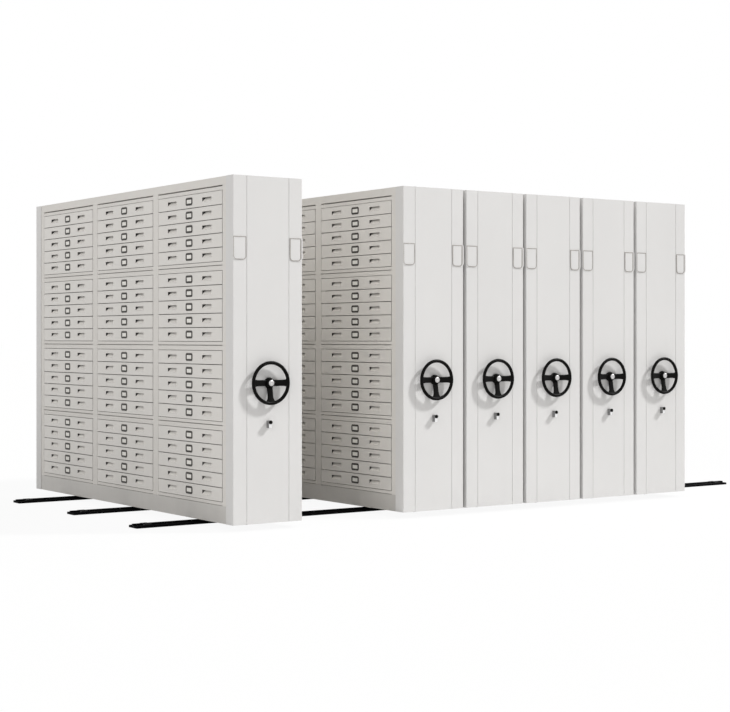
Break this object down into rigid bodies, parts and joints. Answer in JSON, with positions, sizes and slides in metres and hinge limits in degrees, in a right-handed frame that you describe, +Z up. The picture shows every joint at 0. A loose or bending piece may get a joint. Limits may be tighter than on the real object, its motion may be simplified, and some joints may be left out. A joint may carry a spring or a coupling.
{
  "type": "compact mobile shelving",
  "caption": "Row of tall light-grey drawer carriages that roll on low floor tracks, each moved by a black three-spoke handwheel on its end panel.",
  "frame": {"origin": "on the floor under the middle of the whole row's box", "axes": "+X along the tracks, to the right as seen from the handwheels; -Y towards the handwheel side; +Z up"},
  "size_m": [5.835, 3.318, 2.405],
  "materials": {
    "track_steel": "black coated rolled steel",
    "stop_steel": "black coated steel blocks",
    "undercarriage_steel": "light grey paint on the skirts and deck, dark grey frame, bronze bushes, black rubber buffers",
    "axle_steel": "turned steel",
    "cabinet_paint": "light warm grey powder coat",
    "panel_paint": "light grey powder coat",
    "handwheel_plastic": "black moulded plastic, bright cap, steel shaft",
    "lock_plastic": "black knob on a plated spindle, in a plated case on the panel",
    "drawer_paint": "light warm grey powder coat",
    "label_plastic": "dark grey plates"
  },
  "bodies": {
    "tracks": {"tracks": "track_steel", "end_stops": "stop_steel"},
    "carriage_1": {"undercarriage_1": "undercarriage_steel", "cabinet_1": "cabinet_paint", "end_panels_1": "panel_paint", "drawers_1": "drawer_paint", "label_holders_1": "label_plastic"},
    "drive_axle_1": {"drive_axle_1": "axle_steel"},
    "idle_wheels_1": {"idle_wheels_1": "axle_steel"},
    "handwheel_1": {"handwheel_1": "handwheel_plastic"},
    "lock_1": {"lock_1": "lock_plastic"},
    "carriage_2": {"undercarriage_2": "undercarriage_steel", "cabinet_2": "cabinet_paint", "end_panels_2": "panel_paint", "drawers_2": "drawer_paint", "label_holders_2": "label_plastic"},
    "drive_axle_2": {"drive_axle_2": "axle_steel"},
    "idle_wheels_2": {"idle_wheels_2": "axle_steel"},
    "handwheel_2": {"handwheel_2": "handwheel_plastic"},
    "lock_2": {"lock_2": "lock_plastic"},
    "carriage_3": {"undercarriage_3": "undercarriage_steel", "cabinet_3": "cabinet_paint", "end_panels_3": "panel_paint", "drawers_3": "drawer_paint", "label_holders_3": "label_plastic"},
    "drive_axle_3": {"drive_axle_3": "axle_steel"},
    "idle_wheels_3": {"idle_wheels_3": "axle_steel"},
    "handwheel_3": {"handwheel_3": "handwheel_plastic"},
    "lock_3": {"lock_3": "lock_plastic"},
    "carriage_4": {"undercarriage_4": "undercarriage_steel", "cabinet_4": "cabinet_paint", "end_panels_4": "panel_paint", "drawers_4": "drawer_paint", "label_holders_4": "label_plastic"},
    "drive_axle_4": {"drive_axle_4": "axle_steel"},
    "idle_wheels_4": {"idle_wheels_4": "axle_steel"},
    "handwheel_4": {"handwheel_4": "handwheel_plastic"},
    "lock_4": {"lock_4": "lock_plastic"},
    "carriage_5": {"undercarriage_5": "undercarriage_steel", "cabinet_5": "cabinet_paint", "end_panels_5": "panel_paint", "drawers_5": "drawer_paint", "label_holders_5": "label_plastic"},
    "drive_axle_5": {"drive_axle_5": "axle_steel"},
    "idle_wheels_5": {"idle_wheels_5": "axle_steel"},
    "handwheel_5": {"handwheel_5": "handwheel_plastic"},
    "lock_5": {"lock_5": "lock_plastic"},
    "carriage_6": {"undercarriage_6": "undercarriage_steel", "cabinet_6": "cabinet_paint", "end_panels_6": "panel_paint", "drawers_6": "drawer_paint", "label_holders_6": "label_plastic"},
    "drive_axle_6": {"drive_axle_6": "axle_steel"},
    "idle_wheels_6": {"idle_wheels_6": "axle_steel"},
    "handwheel_6": {"handwheel_6": "handwheel_plastic"},
    "lock_6": {"lock_6": "lock_plastic"},
    "sliding_drawer_1": {"sliding_drawer_1": "drawer_paint"},
    "sliding_drawer_2": {"sliding_drawer_2": "drawer_paint"},
    "sliding_drawer_3": {"sliding_drawer_3": "drawer_paint"},
    "sliding_drawer_4": {"sliding_drawer_4": "drawer_paint"}
  },
  "joints": [
    {"name": "carriage_1_roll", "type": "slide", "parent": "tracks", "child": "carriage_1", "axis": [1, 0, 0], "range_m": [-0.4, 0]},
    {"name": "drive_axle_1_spin", "type": "hinge", "parent": "carriage_1", "child": "drive_axle_1", "pos_m": [-2.3525, -0.991, 0.0803], "axis": [0, 1, 0], "range_deg": [-445, 4]},
    {"name": "idle_wheels_1_spin", "type": "hinge", "parent": "carriage_1", "child": "idle_wheels_1", "pos_m": [-2.0625, -0.991, 0.0803], "axis": [0, 1, 0], "range_deg": [-445, 4]},
    {"name": "handwheel_1_turn", "type": "hinge", "parent": "carriage_1", "child": "handwheel_1", "pos_m": [-2.2075, -1.609, 1], "axis": [0, 1, 0], "range_deg": [-666, 4]},
    {"name": "lock_1_turn", "type": "hinge", "parent": "carriage_1", "child": "lock_1", "pos_m": [-2.2075, -1.609, 0.733], "axis": [0, 1, 0], "range_deg": [0, 90]},
    {"name": "carriage_2_roll", "type": "slide", "parent": "tracks", "child": "carriage_2", "axis": [1, 0, 0], "range_m": [-0.835, 0]},
    {"name": "drive_axle_2_spin", "type": "hinge", "parent": "carriage_2", "child": "drive_axle_2", "pos_m": [-0.9355, -0.991, 0.0803], "axis": [0, 1, 0], "range_deg": [-925, 4]},
    {"name": "idle_wheels_2_spin", "type": "hinge", "parent": "carriage_2", "child": "idle_wheels_2", "pos_m": [-0.6455, -0.991, 0.0803], "axis": [0, 1, 0], "range_deg": [-925, 4]},
    {"name": "handwheel_2_turn", "type": "hinge", "parent": "carriage_2", "child": "handwheel_2", "pos_m": [-0.7905, -1.609, 1], "axis": [0, 1, 0], "range_deg": [-1385, 4]},
    {"name": "lock_2_turn", "type": "hinge", "parent": "carriage_2", "child": "lock_2", "pos_m": [-0.7905, -1.609, 0.733], "axis": [0, 1, 0], "range_deg": [0, 90]},
    {"name": "carriage_3_roll", "type": "slide", "parent": "tracks", "child": "carriage_3", "axis": [1, 0, 0], "range_m": [0, 0.265]},
    {"name": "drive_axle_3_spin", "type": "hinge", "parent": "carriage_3", "child": "drive_axle_3", "pos_m": [-0.3535, -0.991, 0.0803], "axis": [0, 1, 0], "range_deg": [-4, 296]},
    {"name": "idle_wheels_3_spin", "type": "hinge", "parent": "carriage_3", "child": "idle_wheels_3", "pos_m": [-0.0635, -0.991, 0.0803], "axis": [0, 1, 0], "range_deg": [-4, 296]},
    {"name": "handwheel_3_turn", "type": "hinge", "parent": "carriage_3", "child": "handwheel_3", "pos_m": [-0.2085, -1.609, 1], "axis": [0, 1, 0], "range_deg": [-4, 442]},
    {"name": "lock_3_turn", "type": "hinge", "parent": "carriage_3", "child": "lock_3", "pos_m": [-0.2085, -1.609, 0.733], "axis": [0, 1, 0], "range_deg": [0, 90]},
    {"name": "carriage_4_roll", "type": "slide", "parent": "carriage_3", "child": "carriage_4", "axis": [1, 0, 0], "range_m": [0, 0.265]},
    {"name": "drive_axle_4_spin", "type": "hinge", "parent": "carriage_4", "child": "drive_axle_4", "pos_m": [0.2285, -0.991, 0.0803], "axis": [0, 1, 0], "range_deg": [-4, 296]},
    {"name": "idle_wheels_4_spin", "type": "hinge", "parent": "carriage_4", "child": "idle_wheels_4", "pos_m": [0.5185, -0.991, 0.0803], "axis": [0, 1, 0], "range_deg": [-4, 296]},
    {"name": "handwheel_4_turn", "type": "hinge", "parent": "carriage_4", "child": "handwheel_4", "pos_m": [0.3735, -1.609, 1], "axis": [0, 1, 0], "range_deg": [-4, 442]},
    {"name": "lock_4_turn", "type": "hinge", "parent": "carriage_4", "child": "lock_4", "pos_m": [0.3735, -1.609, 0.733], "axis": [0, 1, 0], "range_deg": [0, 90]},
    {"name": "carriage_5_roll", "type": "slide", "parent": "carriage_4", "child": "carriage_5", "axis": [1, 0, 0], "range_m": [0, 0.265]},
    {"name": "drive_axle_5_spin", "type": "hinge", "parent": "carriage_5", "child": "drive_axle_5", "pos_m": [0.8105, -0.991, 0.0803], "axis": [0, 1, 0], "range_deg": [-4, 296]},
    {"name": "idle_wheels_5_spin", "type": "hinge", "parent": "carriage_5", "child": "idle_wheels_5", "pos_m": [1.1005, -0.991, 0.0803], "axis": [0, 1, 0], "range_deg": [-4, 296]},
    {"name": "handwheel_5_turn", "type": "hinge", "parent": "carriage_5", "child": "handwheel_5", "pos_m": [0.9555, -1.609, 1], "axis": [0, 1, 0], "range_deg": [-4, 442]},
    {"name": "lock_5_turn", "type": "hinge", "parent": "carriage_5", "child": "lock_5", "pos_m": [0.9555, -1.609, 0.733], "axis": [0, 1, 0], "range_deg": [0, 90]},
    {"name": "carriage_6_roll", "type": "slide", "parent": "carriage_5", "child": "carriage_6", "axis": [1, 0, 0], "range_m": [0, 0.265]},
    {"name": "drive_axle_6_spin", "type": "hinge", "parent": "carriage_6", "child": "drive_axle_6", "pos_m": [1.3925, -0.991, 0.0803], "axis": [0, 1, 0], "range_deg": [-4, 296]},
    {"name": "idle_wheels_6_spin", "type": "hinge", "parent": "carriage_6", "child": "idle_wheels_6", "pos_m": [1.6825, -0.991, 0.0803], "axis": [0, 1, 0], "range_deg": [-4, 296]},
    {"name": "handwheel_6_turn", "type": "hinge", "parent": "carriage_6", "child": "handwheel_6", "pos_m": [1.5375, -1.609, 1], "axis": [0, 1, 0], "range_deg": [-4, 442]},
    {"name": "lock_6_turn", "type": "hinge", "parent": "carriage_6", "child": "lock_6", "pos_m": [1.5375, -1.609, 0.733], "axis": [0, 1, 0], "range_deg": [0, 90]},
    {"name": "sliding_drawer_1_slide", "type": "slide", "parent": "carriage_1", "child": "sliding_drawer_1", "axis": [-1, 0, 0], "range_m": [0, 0.4]},
    {"name": "sliding_drawer_2_slide", "type": "slide", "parent": "carriage_1", "child": "sliding_drawer_2", "axis": [-1, 0, 0], "range_m": [0, 0.4]},
    {"name": "sliding_drawer_3_slide", "type": "slide", "parent": "carriage_1", "child": "sliding_drawer_3", "axis": [-1, 0, 0], "range_m": [0, 0.4]},
    {"name": "sliding_drawer_4_slide", "type": "slide", "parent": "carriage_1", "child": "sliding_drawer_4", "axis": [-1, 0, 0], "range_m": [0, 0.4]}
  ],
  "couplings": [
    {"joint": "drive_axle_1_spin", "follows": "carriage_1_roll", "rad_per_m": 19.231},
    {"joint": "idle_wheels_1_spin", "follows": "carriage_1_roll", "rad_per_m": 19.231},
    {"joint": "handwheel_1_turn", "follows": "carriage_1_roll", "rad_per_m": 28.846},
    {"joint": "drive_axle_2_spin", "follows": "carriage_2_roll", "rad_per_m": 19.231},
    {"joint": "idle_wheels_2_spin", "follows": "carriage_2_roll", "rad_per_m": 19.231},
    {"joint": "handwheel_2_turn", "follows": "carriage_2_roll", "rad_per_m": 28.846},
    {"joint": "drive_axle_3_spin", "follows": "carriage_3_roll", "rad_per_m": 19.231},
    {"joint": "idle_wheels_3_spin", "follows": "carriage_3_roll", "rad_per_m": 19.231},
    {"joint": "handwheel_3_turn", "follows": "carriage_3_roll", "rad_per_m": 28.846},
    {"joint": "drive_axle_4_spin", "follows": "carriage_4_roll", "rad_per_m": 19.231},
    {"joint": "idle_wheels_4_spin", "follows": "carriage_4_roll", "rad_per_m": 19.231},
    {"joint": "handwheel_4_turn", "follows": "carriage_4_roll", "rad_per_m": 28.846},
    {"joint": "drive_axle_5_spin", "follows": "carriage_5_roll", "rad_per_m": 19.231},
    {"joint": "idle_wheels_5_spin", "follows": "carriage_5_roll", "rad_per_m": 19.231},
    {"joint": "handwheel_5_turn", "follows": "carriage_5_roll", "rad_per_m": 28.846},
    {"joint": "drive_axle_6_spin", "follows": "carriage_6_roll", "rad_per_m": 19.231},
    {"joint": "idle_wheels_6_spin", "follows": "carriage_6_roll", "rad_per_m": 19.231},
    {"joint": "handwheel_6_turn", "follows": "carriage_6_roll", "rad_per_m": 28.846}
  ]
}
